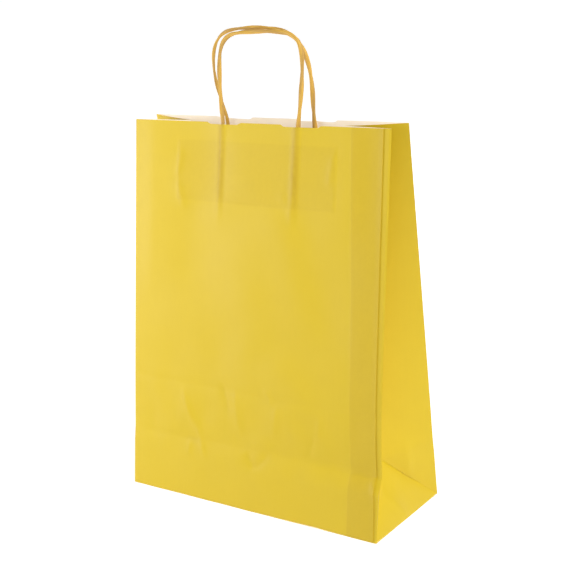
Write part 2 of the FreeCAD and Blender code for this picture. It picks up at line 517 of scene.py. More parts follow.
def printed_paper(name, shading=None):
    """The printed outside: it wanders a little between two yellows, and shading darkens it further."""
    finish = Finish(name)
    place = finish.node("ShaderNodeTexCoord", output="Object")
    fibres, clouds, bump = paper_grain(finish, place)
    stretched = finish.node("ShaderNodeMapping", {}, {"Vector": place, "Scale": (1, 1, RIB_STRETCH)})
    ribs = finish.noise(stretched, 420.0, 3.0, 0.6)
    mottle = clouds.rises(0.3, 0.75) * 0.25 + fibres.rises(0.35, 0.7) * 0.25 + ribs.rises(0.3, 0.7) * 0.22
    tint = finish.mix(mottle, YELLOW, DEEP_YELLOW)
    if shading is not None:
        tint = finish.mix(shading(finish, place), tint, SHADE_AND_STAIN_TINT, "MULTIPLY")
    rough = 0.50 + 0.12 * fibres
    return finish.surface(Base_Color=tint, Roughness=rough, Normal=bump, Specular_IOR_Level=0.4)


def plain_paper(name, colour, dark, glow=0.0):
    """The unprinted inside and the cut edges. The glow stands for light that shines through the sheet."""
    finish = Finish(name)
    place = finish.node("ShaderNodeTexCoord", output="Object")
    fibres, clouds, bump = paper_grain(finish, place)
    tint = finish.mix(clouds.rises(0.3, 0.7) * 0.6 + fibres.rises(0.4, 0.7) * 0.3, colour, dark)
    rough = 0.72 + 0.1 * fibres
    finish.surface(Emission_Color=colour, Emission_Strength=glow)
    return finish.surface(Base_Color=tint, Roughness=rough, Normal=bump, Specular_IOR_Level=0.25)


gusset_paper = printed_paper("gusset_paper")
white_paper = plain_paper("white_paper", paint(240, 232, 218), paint(236, 224, 204), glow=0.28)
strip_paper = plain_paper("strip_paper", paint(236, 220, 186), paint(222, 202, 160))
print("finishes:", gusset_paper.name, white_paper.name, strip_paper.name)

# %% [markdown]
# ## What shows through
#
# Thin paper is a little see-through. Where the strips, the cord ends or the seam flap are glued behind it,
# less light comes through and the yellow looks deeper. Real light through the sheet would need many more
# samples, so the finish of each wide wall is darkened there by a mask of plain sums on the place. The same
# mask adds painted shade over the ridge at each cord end and along the wall's foot.

# %% The strips and the flap show through
PATCH_WIDTH = 150 * MM
PATCH_HEIGHT = 48 * MM
SEAM_SETBACK = 5 * MM
SEAM_FLAP_WIDTH = 33 * MM
LAP_SKEW = 6.5 * MM
SHOW_EDGE = 1.2 * MM
STRIP_TINT = 0.06
# Painted shade of the ridge over each cord end, together with the cord end showing through.
LEG_SHADE = 0.26
FLAP_TINT = 0.16
# Painted shade along the foot of each wide wall, where it stands on the floor.
FOOT_SHADE = 0.16
BLOTCH_TINT = 0.05


def window(coordinate, low, high):
    """1 between low and high, 0 outside, with soft edges."""
    inside = coordinate.rises(low - SHOW_EDGE, low + SHOW_EDGE)
    return inside * (1 - coordinate.rises(high - SHOW_EDGE, high + SHOW_EDGE))


def show_through_and_shade(wall):
    """A shading function for a wall's outside: how much darker it is for what is glued behind it, and
    painted shade over the ridge at each cord end and along the foot.
    """

    def shade(finish, place):
        across = finish.node("ShaderNodeSeparateXYZ", {}, {0: place})
        up = across.part("Z") * (1 / wall.up.z)
        top = wall.height - PATCH_DROP
        blotch = finish.noise(place, 260.0, 2.0, 0.6).rises(0.2, 0.8) * BLOTCH_TINT
        strip = window(across, -PATCH_WIDTH / 2, PATCH_WIDTH / 2) * window(up, top - PATCH_HEIGHT, top)
        darker = strip * (STRIP_TINT + blotch)
        for leg in leg_places(wall):
            # Painted shade down the ridge over each cord end, with the cord end showing through.
            leg_shade = 1 - (across - leg).absolute().rises(0.8 * MM, 5.0 * MM)
            leg_shade = leg_shade * up.rises(top - 1.3 * PATCH_HEIGHT, top - 0.6 * PATCH_HEIGHT)
            darker = darker + leg_shade * (LEG_SHADE + 2 * blotch)
        if wall is FRONT:
            start = HALF_WIDTH - SEAM_FLAP_WIDTH + LAP_SKEW
            flap = (across + up * up * (LAP_SKEW / HEIGHT ** 2)).rises(start - 0.6 * MM, start + 0.6 * MM)
            darker = darker + flap * (FLAP_TINT + blotch)
        # The last term is painted shade along the wall's foot.
        return darker + (1 - up.rises(0.2 * MM, 3.0 * MM)) * FOOT_SHADE

    return shade


front_paper = printed_paper("front_paper", show_through_and_shade(FRONT))
rear_paper = printed_paper("rear_paper", show_through_and_shade(REAR))
print("the seam flap shows", SEAM_FLAP_WIDTH * 1000, "mm wide at the top of the front")

# %% The seam flap's finish
SEAM_SKEW = 2.2 * MM
# Painted shadow of the front wall's cut edge, together with the stain of the glued seam.
GLUE_AND_SHADOW_TINT = 0.45
# Painted shade over the whole flap, under the lap of the front wall.
SEAM_SHADE = 0.05


def beside_the_seam(finish, place):
    """The flap lies lower than the wall's cut edge, so it is painted darker: a little all over for the shade
    under the lap, and more next to the edge, for the edge's painted shadow and the stain of the glued seam.
    """
    across = finish.node("ShaderNodeSeparateXYZ", {}, {0: place})
    level = across + across.part("Z") * (SEAM_SKEW / HEIGHT)
    start = HALF_WIDTH - 0.5 * SEAM_SETBACK
    glue_and_shadow = 1 - level.rises(start - 5.0 * MM, start - 0.5 * MM)
    return SEAM_SHADE + GLUE_AND_SHADOW_TINT * glue_and_shadow


seam_paper = printed_paper("seam_paper", beside_the_seam)
print("finish:", seam_paper.name)

# %% [markdown]
# ## The cords' finish
#
# The cord is unprinted golden kraft. Its streaks run with the twist, so the pattern can't be tied to the
# object's own directions: it reads each point's place in the bundle, which turns as the cord does. One side
# of the bundle is the strip's folded inside and looks duller.

# %% Finish for the cords
def cord_paper():
    """Twisted paper: streaks run with the twist, and one side of the bundle is darker."""
    finish = Finish("cord_paper")
    strand = finish.node("ShaderNodeAttribute", {"attribute_name": "strand"}, {}, "Vector")
    place = finish.node("ShaderNodeTexCoord", output="Object")
    facet = finish.node("ShaderNodeSeparateXYZ", {}, {0: strand})
    streaks = finish.noise(strand, 6.0, 4.0, 0.6)
    broad = finish.noise(strand, 1.8, 2.0, 0.5)
    fibres = finish.noise(place, 2600.0, 3.0, 0.6)
    tint = finish.mix(streaks.rises(0.25, 0.75), paint(208, 166, 74), paint(190, 146, 58))
    folded_under = (facet + broad * 0.9 - 0.45).rises(-0.1, 0.5)
    tint = finish.mix(folded_under * 0.65, tint, paint(172, 134, 72))
    height = streaks + fibres * 0.3
    bump = finish.node("ShaderNodeBump", {}, {"Strength": 0.4, "Distance": 0.0003, "Height": height})
    rough = 0.48 + 0.2 * fibres
    return finish.surface(Base_Color=tint, Roughness=rough, Normal=bump, Specular_IOR_Level=0.4)


cord_finish = cord_paper()
for cord in handles.values():
    cord.data.materials.append(cord_finish)
print("finishes:", [m.name for m in bpy.data.materials if m.users])

# %% [markdown]
# ## One way to make every sheet
#
# A sheet of paper is a surface with a place for every point of the flat pattern: how far across and up.
# Each sheet starts as Blender's flat grid. Its vertices are then moved to where the folded paper is, and
# Solidify gives it its real thickness. Grid lines lie exactly on the creases, because paper bends sharply
# there and nowhere else. A simulation would spend minutes to find the same shape: paper hardly stretches,
# so its folds are geometry, and only its slow waves are left to chance.

# %% From flat grid to folded sheet
PAPER = 0.2 * MM
GRID_STEP = 2.4 * MM
INSIDE_SLOT = 1


def spaced(*knots, step=GRID_STEP):
    """Numbers that include every knot, with gaps of at most step between them."""
    values = [knots[0]]
    for start, end in zip(knots, knots[1:]):
        count = max(1, math.ceil((end - start) / step))
        values += [start + (end - start) * k / count for k in range(1, count + 1)]
    return np.array(values)


def folded_grid(name, across, up, place, outwards, finishes, white_rim=None):
    """A sheet: place turns arrays of across and up into points, and outwards points away from the bag.

    white_rim says, for a face of the rim, whether the white core shows there as at a cut edge.
    """
    bpy.ops.object.select_all(action="DESELECT")
    bpy.ops.mesh.primitive_grid_add(x_subdivisions=len(across) - 1, y_subdivisions=len(up) - 1, size=2)
    piece = bpy.context.object
    piece.name = piece.data.name = name
    grid = np.empty(len(piece.data.vertices) * 3)
    piece.data.vertices.foreach_get("co", grid)
    grid = grid.reshape(-1, 3)
    column = np.rint((grid[:, 0] + 1) / 2 * (len(across) - 1)).astype(int)
    row = np.rint((grid[:, 1] + 1) / 2 * (len(up) - 1)).astype(int)
    points = place(across[column], up[row])
    piece.data.vertices.foreach_set("co", points.ravel())
    piece.data.update()
    facing = sum((polygon.normal * polygon.area for polygon in piece.data.polygons), Vector())
    only(piece)
    if facing @ Vector(outwards) < 0:
        bpy.ops.object.mode_set(mode="EDIT")
        bpy.ops.mesh.select_all(action="SELECT")
        bpy.ops.mesh.flip_normals()
        bpy.ops.object.mode_set(mode="OBJECT")
    for finish in finishes:
        piece.data.materials.append(finish)
    solid = piece.modifiers.new("thickness", "SOLIDIFY")
    solid.thickness = PAPER
    solid.offset = -1
    solid.material_offset = INSIDE_SLOT
    solid.material_offset_rim = INSIDE_SLOT
    bpy.ops.object.modifier_apply(modifier=solid.name)
    if white_rim is not None:
        cells = (len(across) - 1) * (len(up) - 1)
        for polygon in list(piece.data.polygons)[2 * cells:]:
            if not white_rim(polygon.center, polygon.normal):
                polygon.material_index = 0
    bpy.ops.object.shade_smooth_by_angle(angle=SMOOTH_ANGLE)
    print(f"{name}: {len(piece.data.polygons)} faces")
    return piece


print(f"paper {PAPER * 1000:.1f} mm thick, on a grid of {GRID_STEP * 1000:.1f} mm")

# %% [markdown]
# ## The wide walls
#
# Seen close, a wall is never flat. It bulges softly between its folds. The creases of the flat-packed bag
# cross it low down, and the lowest stays dented inwards. Each cord end presses a ridge into it from behind,
# and the glued strip a faint step. Handling leaves soft bends and a few short, sharp wrinkles. Each of
# these is one small function of the place on the wall, and their sum is how far the paper stands out.

# %% Shapes that paper takes
FADED_SHARE = 0.3
ROLL_PEAK = 1.65


def hill(distance, width):
    """A rounded rise, 1 at distance 0."""
    return np.exp(-((distance / width) ** 2))


def ramp(value, start, end):
    """0 before start, 1 after end."""
    return smooth((value - start) / (end - start))


def beside_line(across, up, start, end):
    """How far each place lies to the left of a line given in millimetres, and how near its ends."""
    start_across, start_up = start[0] * MM, start[1] * MM
    run, rise = end[0] * MM - start_across, end[1] * MM - start_up
    length = math.hypot(run, rise)
    along = ((across - start_across) * run + (up - start_up) * rise) / length ** 2
    left = ((up - start_up) * run - (across - start_across) * rise) / length
    return left, smooth(along / FADED_SHARE) * smooth((1 - along) / FADED_SHARE)


def wrinkle(across, up, start, end, height, width):
    """A short sharp crease from start to end: a cusp across it, faded at both ends."""
    left, fade = beside_line(across, up, start, end)
    return height * MM * np.exp(-np.abs(left) / (width * MM)) * fade


def roll(across, up, start, end, drop, width):
    """A soft bend along a line: the sheet sinks by drop on its left and rises as much on its right."""
    left, fade = beside_line(across, up, start, end)
    off = left / (width * MM)
    return -drop * MM * ROLL_PEAK * off * np.exp(-0.5 * off ** 2) * fade


def waviness(across, up, seed, size):
    """Slow waves of the paper, between about -1 and 1, size metres across."""
    flat_across, flat_up = np.ravel(across), np.ravel(up)
    values = [noise.noise(Vector((x / size, s / size, seed))) for x, s in zip(flat_across, flat_up)]
    return np.array(values).reshape(np.shape(across))


print("a wrinkle fades over", FADED_SHARE, "of its length at each end")

# %% The lower creases of the flat-packed bag
KINK_HEIGHT = 50 * MM
KINK_START = 37 * MM
KINK_FADE = 30 * MM
KINK_DENT = {"front": (0.6 * MM, 4.8 * MM), "rear": (2.2 * MM, 0.5 * MM)}
PRESS_HEIGHT = 96 * MM
PRESS_DENT = 0.45 * MM
FLAP_LINE = 52 * MM
FLAP_LINE_SLOPE = 0.03
FLAP_LINE_DENT = 0.5 * MM


def kink(wall, across, up):
    """How far the lower crease is dented inwards: a sharp step below it, a slow return above it."""
    left, right = KINK_DENT[wall.name]
    dent = left + (right - left) * smooth((across + HALF_WIDTH) / (2 * HALF_WIDTH)) ** 2
    below = np.clip((up - KINK_START) / (KINK_HEIGHT - KINK_START), 0, 1) ** 1.3
    above = np.exp(-(np.maximum(up - KINK_HEIGHT, 0) / KINK_FADE) ** 1.3)
    return dent * np.where(up < KINK_HEIGHT, below, above)


def pressed_lines(across, up, middle):
    """Two faint dents across the wall: the edge of the bottom that lay folded on it, and a flap's end."""
    fold = PRESS_DENT * hill(up - PRESS_HEIGHT, 2.5 * MM)
    flap = FLAP_LINE_DENT * hill(up - FLAP_LINE - FLAP_LINE_SLOPE * across, 2.2 * MM)
    return fold + flap * smooth(middle * 2)


for wall in WALLS:
    print(f"{wall.name}: the lower crease is dented {max(KINK_DENT[wall.name]) * 1000:.1f} mm at most")

# %% Wrinkles and soft bends
WRINKLES = {
    "front": [
        ((-70, 94), (-52, 55), 1.0, 4.0),
        ((-55, 72), (-43, 32), 0.9, 3.5),
        ((-60, 50), (-61, 33), 0.5, 3.0),
        ((-29, 104), (-18, 74), -0.7, 4.0),
        ((-15, 106), (-8, 55), 0.7, 4.5),
        ((-3, 49), (8, 34), -0.9, 3.5),
        ((6, 34), (21, 53), -0.8, 4.0),
        ((15, 105), (24, 90), 0.5, 3.0),
        ((28, 94), (24, 62), 0.7, 4.0),
        ((62, 74), (55, 52), -0.7, 3.5),
        ((67, 92), (66, 68), 0.5, 3.0),
        ((113, 50), (118, 32), 0.7, 3.0),
        ((24, 262), (40, 236), 0.35, 4.0),
        ((-71, 290), (-76, 262), 0.5, 3.0),
        ((-76, 266), (-68, 238), 0.6, 4.0),
        ((73, 292), (69, 262), 0.5, 3.0),
    ],
    "rear": [
        ((-58, 92), (-40, 52), 0.9, 4.0),
        ((14, 60), (-6, 30), -0.8, 4.0),
        ((62, 104), (50, 58), 0.8, 4.5),
        ((30, 240), (52, 215), 0.7, 5.0),
    ],
}
ROLLS = {
    "front": [
        ((-82, 345), (-86, 150), 2.1, 30.0),
        ((26, 268), (74, 120), 1.0, 15.0),
        ((30, 146), (66, 84), 0.9, 20.0),
        ((-28, 320), (-34, 230), -0.6, 14.0),
        ((-14, 200), (-24, 90), -0.7, 16.0),
        ((96, 330), (98, 215), 0.8, 12.0),
    ],
    "rear": [
        ((70, 330), (78, 150), -1.8, 26.0),
        ((-30, 250), (-66, 110), 1.0, 16.0),
        ((10, 180), (24, 70), -0.8, 18.0),
    ],
}
WRINKLE_STRENGTH = 1.9


def handled(wall, across, up, middle):
    """The sum of a wall's soft bends, which fade at its folds, and of its wrinkles."""
    out = 0.0
    for start, end, drop, width in ROLLS[wall.name]:
        out = out + roll(across, up, start, end, drop, width) * smooth(middle * 3)
    for start, end, height, width in WRINKLES[wall.name]:
        out = out + wrinkle(across, up, start, end, height * WRINKLE_STRENGTH, width)
    return out


for name, creases in WRINKLES.items():
    print(f"{name}: {len(creases)} wrinkles and {len(ROLLS[name])} soft bends")

# %% What is glued behind the wall
PATCH_LOW = HEIGHT - PATCH_DROP - PATCH_HEIGHT
PATCH_HIGH = HEIGHT - PATCH_DROP
STEP_OUTSIDE = 0.5 * MM
STEP_INSIDE = 0.7 * MM
STEP_HEIGHT = 0.2 * MM
LEG_RIDGE = 1.2 * MM
LEG_RIDGE_SHIFT = 1.5 * MM
LEG_SWELL = 0.8 * MM


def strip_step(across, up):
    """The faint step where the glued strip lies behind."""
    border = -PATCH_WIDTH / 2
    step = ramp(across, border - STEP_OUTSIDE, border + STEP_INSIDE)
    step = step * ramp(-across, border - STEP_OUTSIDE, border + STEP_INSIDE)
    step = step * ramp(up, PATCH_LOW - STEP_OUTSIDE, PATCH_LOW + STEP_INSIDE)
    return STEP_HEIGHT * step * ramp(-up, -PATCH_HIGH - 1 * MM, -PATCH_HIGH + 1 * MM)


def leg_ridge(leg, across, up):
    """A narrow ridge over one cord end, which leans a little, and a wide swell where the cord comes out."""
    off = across - leg + LEG_RIDGE_SHIFT * (1 - (up - PATCH_LOW) / PATCH_HEIGHT)
    ridge = LEG_RIDGE * hill(off, 2.8 * MM) * ramp(up, PATCH_LOW - 22 * MM, PATCH_LOW + 8 * MM)
    return ridge + LEG_SWELL * hill(across - leg, 12 * MM) * ramp(up, PATCH_HIGH - 12 * MM, HEIGHT)


print(f"strips from {PATCH_LOW:.3f} to {PATCH_HIGH:.3f} m up the walls")

# %% The walls' whole relief
BULGE = 1.6 * MM
RELIEF_SEED = {"front": 3.7, "rear": 8.1}
SLOW_WAVES = 2.6 * MM
QUICK_WAVES = 0.9 * MM
LOW_WAVES = 1.0 * MM
CALM_SHARE = 0.8


def relief(wall, across, up):
    """How far the wall's outer face stands out from the flat, in metres."""
    across, up = np.broadcast_arrays(np.asarray(across, float), np.asarray(up, float))
    seed = RELIEF_SEED[wall.name]
    middle = 1 - (across / HALF_WIDTH) ** 2
    calm = 1 - CALM_SHARE * ramp(up, PATCH_LOW - 15 * MM, PATCH_HIGH)
    low_band = hill(up - 62 * MM, 38 * MM) * smooth(middle * 2.5)
    out = BULGE * middle * np.sin(np.clip(up / HEIGHT, 0, 1) * math.pi) ** 0.8
    out = out + SLOW_WAVES * calm * middle * waviness(across, up, seed, 80 * MM)
    out = out + QUICK_WAVES * calm * smooth(middle * 2) * waviness(across, up, seed + 20, 30 * MM)
    out = out + LOW_WAVES * low_band * waviness(across, up, seed + 40, 18 * MM)
    out = out + handled(wall, across, up, middle) + strip_step(across, up)
    for leg in leg_places(wall):
        out = out + leg_ridge(leg, across, up)
    return out - kink(wall, across, up) - pressed_lines(across, up, middle)


for wall in WALLS:
    heights = relief(wall, 0.0, np.linspace(0, HEIGHT, 32))
    print(f"{wall.name}: {heights.min() * 1000:.1f} to {heights.max() * 1000:.1f} mm along its middle")

# %% The cut top edge
DIPS = {"front": [(-46.5, -13.5), (24.5, 61.0)], "rear": [(-55.5, -20.5), (20.5, 58.5)]}
DIP_DEPTH = 1.6 * MM
DIP_SLOPE = 3 * MM
TOP_BAND = 24 * MM


def top_edge(wall, across):
    """The height of the cut edge: it dips a little at each handle leg."""
    dip = np.zeros(np.shape(across))
    for start, end in DIPS[wall.name]:
        falls = ramp(across, start * MM, start * MM + DIP_SLOPE)
        rises = ramp(-across, -end * MM, -end * MM + DIP_SLOPE)
        dip = np.maximum(dip, falls * rises)
    return wall.height - DIP_DEPTH * dip


def cut_to_top(wall, across, up):
    """Squeezes the rows of the top band so that the last one lies on the cut edge."""
    share = np.clip((up - wall.height + TOP_BAND) / TOP_BAND, 0, 1)
    return up - share * (wall.height - top_edge(wall, across))


def at_top(point, normal):
    """True where the rim is the cut top edge: high up, and facing upwards."""
    return point.z > HEIGHT - 20 * MM and normal.z > 0.7


print(f"the top edge dips {DIP_DEPTH * 1000:.1f} mm at each leg")

# %% The front and rear walls' borders
FOLD_CURL = 0.5 * MM
FOLD_INSET = 0.3 * MM
SEAM_LIFT = 0.35 * MM
LAP_STEP = 0.25 * MM
FOOT_FLARE = 1.2 * MM
TRIM_START = 80 * MM


def cut_edge(up):
    """How far across the front wall's own edge lies: the sheet was cut a little askew."""
    askew = SEAM_SKEW * (1 - np.clip(up / HEIGHT, 0, 1))
    flare = FOOT_FLARE * (1 - ramp(up, 15 * MM, 60 * MM))
    return HALF_WIDTH - SEAM_SETBACK - SEAM_SKEW / 2 + askew + flare


def lap_edge(up):
    """The hidden edge of the seam flap."""
    return HALF_WIDTH - SEAM_FLAP_WIDTH + LAP_SKEW * (1 - (up / HEIGHT) ** 2)


def over_flap(across, up):
    """The front wall rides over the flap's edge, and its own cut edge stands a little free."""
    step = LAP_STEP * ramp(across - lap_edge(up), -1.2 * MM, 0.8 * MM)
    free = SEAM_LIFT * ramp(across - cut_edge(up), -4 * MM, 0)
    return step + free


def curl(across):
    """The last half millimetre before a fold turns inwards."""
    return -FOLD_INSET * smooth((np.abs(across) - HALF_WIDTH + FOLD_CURL) / FOLD_CURL)


def front_place(across, up):
    """The front wall's right border follows its cut edge, and only its left border is a fold."""
    squeeze = np.clip((across - TRIM_START) / (HALF_WIDTH - TRIM_START), 0, 1)
    height = cut_to_top(FRONT, across, up)
    moved = across - squeeze * (HALF_WIDTH - cut_edge(height))
    out = relief(FRONT, moved, height) + over_flap(moved, height) + curl(np.minimum(moved, 0))
    return FRONT.points(moved, height, -out)


def rear_place(across, up):
    """Both of the rear wall's borders are folds."""
    height = cut_to_top(REAR, across, up)
    return REAR.points(across, height, -relief(REAR, across, height) - curl(across))


print(f"the seam's cut edge runs {cut_edge(0.0) * 1000:.1f} to {cut_edge(HEIGHT) * 1000:.1f} mm across")

# %% The front and rear walls
ROWS = spaced(
    0.3 * MM, KINK_HEIGHT, PRESS_HEIGHT, PATCH_LOW - STEP_OUTSIDE, PATCH_LOW + STEP_INSIDE,
    HEIGHT - TOP_BAND, HEIGHT,
)
WALL_STEP = 2.0 * MM
STEP_KNOTS = (
    -PATCH_WIDTH / 2 - STEP_OUTSIDE, -PATCH_WIDTH / 2 + STEP_INSIDE,
    PATCH_WIDTH / 2 - STEP_INSIDE, PATCH_WIDTH / 2 + STEP_OUTSIDE,
)
front_columns = spaced(
    -HALF_WIDTH, -HALF_WIDTH + FOLD_CURL, *STEP_KNOTS, 86 * MM, 116 * MM, HALF_WIDTH, step=WALL_STEP,
)
front_wall = folded_grid(
    "front_wall", front_columns, ROWS, front_place, -FRONT.inward, [front_paper, white_paper],
    white_rim=at_top,
)
rear_columns = spaced(
    -HALF_WIDTH, -HALF_WIDTH + FOLD_CURL, *STEP_KNOTS, HALF_WIDTH - FOLD_CURL, HALF_WIDTH, step=WALL_STEP,
)
rear_wall = folded_grid(
    "rear_wall", rear_columns, ROWS, rear_place, -REAR.inward, [rear_paper, white_paper],
    white_rim=at_top,
)

# %% [markdown]
# ## The seam flap
#
# A bag is closed into a tube by one glued seam. The sheet's last strip, folded round from the gusset, lies
# behind the front wall's cut edge, so a narrow band of it shows between that edge and the fold. It is one
# paper thickness deeper, and it was cut a little askew: it is wider at the top.

# %% The seam flap
FLAP_START = HALF_WIDTH - SEAM_FLAP_WIDTH
FLAP_DEPTH = 1.1 * PAPER - LAP_STEP / 2
FLAP_LIFT = 0.05 * MM


def flap_place(across, up):
    """The flap keeps its fold and is stretched to the hidden edge's slant."""
    height = np.minimum(cut_to_top(FRONT, across, up), FRONT.height)
    start = lap_edge(height)
    moved = start + (across - FLAP_START) / (HALF_WIDTH - FLAP_START) * (HALF_WIDTH - start)
    edge = HALF_WIDTH - FOLD_CURL
    out = relief(FRONT, moved, height) + FLAP_LIFT * ramp(moved, edge - 8 * MM, edge) + curl(moved)
    return FRONT.points(moved, height, FLAP_DEPTH - out)


flap_columns = spaced(FLAP_START, HALF_WIDTH - 7 * MM, HALF_WIDTH - FOLD_CURL, HALF_WIDTH, step=WALL_STEP)
seam_flap = folded_grid(
    "seam_flap", flap_columns, ROWS, flap_place, -FRONT.inward, [seam_paper, white_paper],
    white_rim=at_top,
)

# %% [markdown]
# ## The side gussets
#
# Each side of the bag is a strip as wide as the bag is deep, folded in half along its middle, so that it
# can close. Near the bottom the fold splits in two: two slanted creases run out to the bottom's corners, and
# between them a small triangle stays almost upright. Every point of a half gusset is found from the flat
# strip: so far from the wall's fold, so far up. A narrow lip carries on beyond that fold, as the one sheet
# does, so no gap can open there.

# %% Where the middle crease runs
LEAN_MEAN = (FRONT.lean + REAR.lean) / 2


def wall_edge(wall, hand, up):
    """The fold between a wall and a gusset, which follows the wall's dented lower crease."""
    across = np.full(np.shape(up), hand * HALF_WIDTH)
    return wall.points(across, up, kink(wall, across, up) + FOLD_INSET)


def crease(hand, up):
    """The gusset's middle crease: half the bottom's depth from both folds, and square to them."""
    across = np.full(np.shape(up), hand * HALF_WIDTH)
    front = FRONT.points(across, up, 0)
    rear = REAR.points(across, up, 0)
    half_gap = (rear[..., 1] - front[..., 1]) / 2
    drop = half_gap * math.tan(LEAN_MEAN)
    inset = np.sqrt(np.maximum(HALF_DEPTH ** 2 - half_gap ** 2 - drop ** 2, 0))
    middle = (front + rear) / 2
    middle[..., 0] -= hand * inset
    middle[..., 2] -= drop
    return middle


def inner_edge(wall, hand, up):
    """Where a half gusset ends: on the slanted crease at first, and above its tip on the middle crease."""
    corner = np.array((hand * HALF_WIDTH, wall.side * HALF_DEPTH, 0.0))
    tip = crease(hand, np.array(HALF_DEPTH))
    share = np.clip(up / HALF_DEPTH, 0, 1)[..., None]
    slanted = corner + (tip - corner) * share
    return np.where((up < HALF_DEPTH)[..., None], slanted, crease(hand, np.maximum(up, HALF_DEPTH)))


print("the creases meet at", [round(c, 3) for c in crease(1, np.array(HALF_DEPTH)).tolist()])

# %% The half gussets' soft bends
LIP = 2 * MM
LIP_TUCK = 0.05
GUSSET_BOW = 1.1 * MM
GUSSET_WAVES = 0.7 * MM
GUSSET_LOW_WAVES = 0.35 * MM
FOOT_CREASE = 2.2 * MM
FOOT_CREASE_PLACE = 26 * MM
TOP_DENT = 0.3 * MM
GUSSET_FOOT = 0.4 * MM
GUSSET_ROWS = spaced(GUSSET_FOOT, HALF_DEPTH, 115 * MM, 180 * MM, 245 * MM, HEIGHT, step=2.6 * MM)
GUSSET_COLUMNS = np.concatenate([[-LIP / HALF_DEPTH], spaced(0, 0.02, 0.98, 1, step=0.055)])
GUSSET_SEED = {("front", -1): 1.3, ("front", 1): 4.9, ("rear", -1): 7.7, ("rear", 1): 11.2}


def gusset_normal(wall, hand, up):
    """The half gusset's outward direction at a height: into the valley between the two halves."""
    edge = wall_edge(wall, hand, up)
    inner = inner_edge(wall, hand, up)
    across = inner - edge
    along = np.broadcast_to(np.array(wall.up), across.shape)
    normal = np.cross(along, across)
    normal /= np.maximum(np.linalg.norm(normal, axis=-1), 1e-9)[..., None]
    facing = np.sign(-normal[..., 1] * wall.side)
    return normal * np.where(facing == 0, 1, facing)[..., None]


def gusset_bow(wall, hand, inside, width, up):
    """How far a half gusset stands out; the right rear one has an upright crease near its foot."""
    seed = GUSSET_SEED[wall.name, hand]
    soft = np.sin(inside * math.pi) * np.minimum(width / HALF_DEPTH, 1)
    low_waves = waviness(inside * HALF_DEPTH, up, seed + 30, 15 * MM) * hill(up - 70 * MM, 50 * MM)
    bow = GUSSET_BOW * ramp(up, 40 * MM, 120 * MM) + GUSSET_LOW_WAVES * low_waves
    bow = soft * (bow + GUSSET_WAVES * waviness(inside * HALF_DEPTH, up, seed, 42 * MM))
    if wall is REAR and hand > 0:
        off = np.abs(inside * width - FOOT_CREASE_PLACE)
        bow = bow + FOOT_CREASE * np.exp(-off / (8 * MM)) * hill(up - 40 * MM, 18 * MM)
        bow = bow - TOP_DENT * hill(up - HEIGHT + 6 * MM, 1.4 * MM) * soft
    return bow


def gusset_place(wall, hand):
    """Share 0 is the wall's fold and share 1 the inner crease; below 0 is the lip."""

    def place(share, up):
        edge = wall_edge(wall, hand, up)
        inner = inner_edge(wall, hand, up)
        width = np.linalg.norm(inner - edge, axis=-1)
        inside = np.clip(share, 0, 1)
        bow = gusset_bow(wall, hand, inside, width, up)
        points = edge + (inner - edge) * inside[..., None] + gusset_normal(wall, hand, up) * bow[..., None]
        lip = np.minimum(share, 0)[..., None] * HALF_DEPTH
        return points + lip * (np.array((hand, 0.0, 0.0)) - LIP_TUCK * np.array(wall.inward))

    return place


print(f"a half gusset bows out by {GUSSET_BOW * 1000:.1f} mm")

# %% The four half gussets
gussets = {}
for hand, side_name in ((-1, "left"), (1, "right")):
    for wall in WALLS:
        half = folded_grid(
            f"{side_name}_gusset_{wall.name}", GUSSET_COLUMNS, GUSSET_ROWS, gusset_place(wall, hand),
            (0, -wall.side, 0), [gusset_paper, white_paper], white_rim=at_top,
        )
        gussets[side_name, wall.name] = half

# %% [markdown]
# ## The base triangles
#
# The triangle at the foot of each gusset hinges on the bottom's side edge. Its two slanted borders are
# creases of the one sheet, so it must meet both half gussets while all three turn by different amounts. A
# narrow lip behind the creases covers the hair's breadth that would otherwise open there.

# %% The base triangles
TRIANGLE_FOOT = 0.3 * MM
TRIANGLE_LIP = 2.5 * MM
LIP_SHARE = 0.05
PUFF = 1.5 * MM
PUFF_WAVES = 0.8 * MM
TRIANGLE_BEND = 3.0 * MM
BEND_SLOPE = 0.79


def triangle_place(hand):
    """Share runs from -1 at the front crease to 1 at the rear crease; past them is the lip."""
    tip = crease(hand, np.array(HALF_DEPTH))
    foot = np.array((hand * HALF_WIDTH, 0.0, 0.0))
    rise = tip - foot
    outward = np.array((rise[2] * hand, 0.0, -rise[0] * hand))
    outward /= np.linalg.norm(outward)

    def place(share, up):
        level = np.clip(up / HALF_DEPTH, 0, 1)
        width = HALF_DEPTH * (1 - level)
        lip = np.minimum(TRIANGLE_LIP, 0.6 * up) * np.clip((np.abs(share) - 1) / LIP_SHARE, 0, 1)
        reach = np.clip(share, -1, 1) * width + np.sign(share) * lip
        share = np.clip(share, -1, 1)
        away = np.array((0.0, 1.0, 0.0)) * reach[..., None]
        points = foot + rise * level[..., None] + away
        soft = (1 - share ** 2) * np.sin(level * math.pi) ** 0.7
        puff = PUFF + PUFF_WAVES * waviness(share * width, up, 5.5 + hand, 18 * MM)
        off = np.abs(share * width - 2 * MM + up * BEND_SLOPE)
        bend = TRIANGLE_BEND * np.exp(-off / (9 * MM))
        return points + outward * (soft * (puff + bend))[..., None]

    return place


triangles = {}
for hand, side_name in ((-1, "left"), (1, "right")):
    triangles[side_name] = folded_grid(
        side_name + "_base_triangle",
        spaced(-1.0 - LIP_SHARE, -1.0, 0.0, 1.0, 1.0 + LIP_SHARE, step=0.05),
        spaced(TRIANGLE_FOOT, HALF_DEPTH - 0.4 * MM),
        triangle_place(hand), (hand, 0, 0.5), [gusset_paper, white_paper],
        white_rim=lambda point, normal: False,
    )

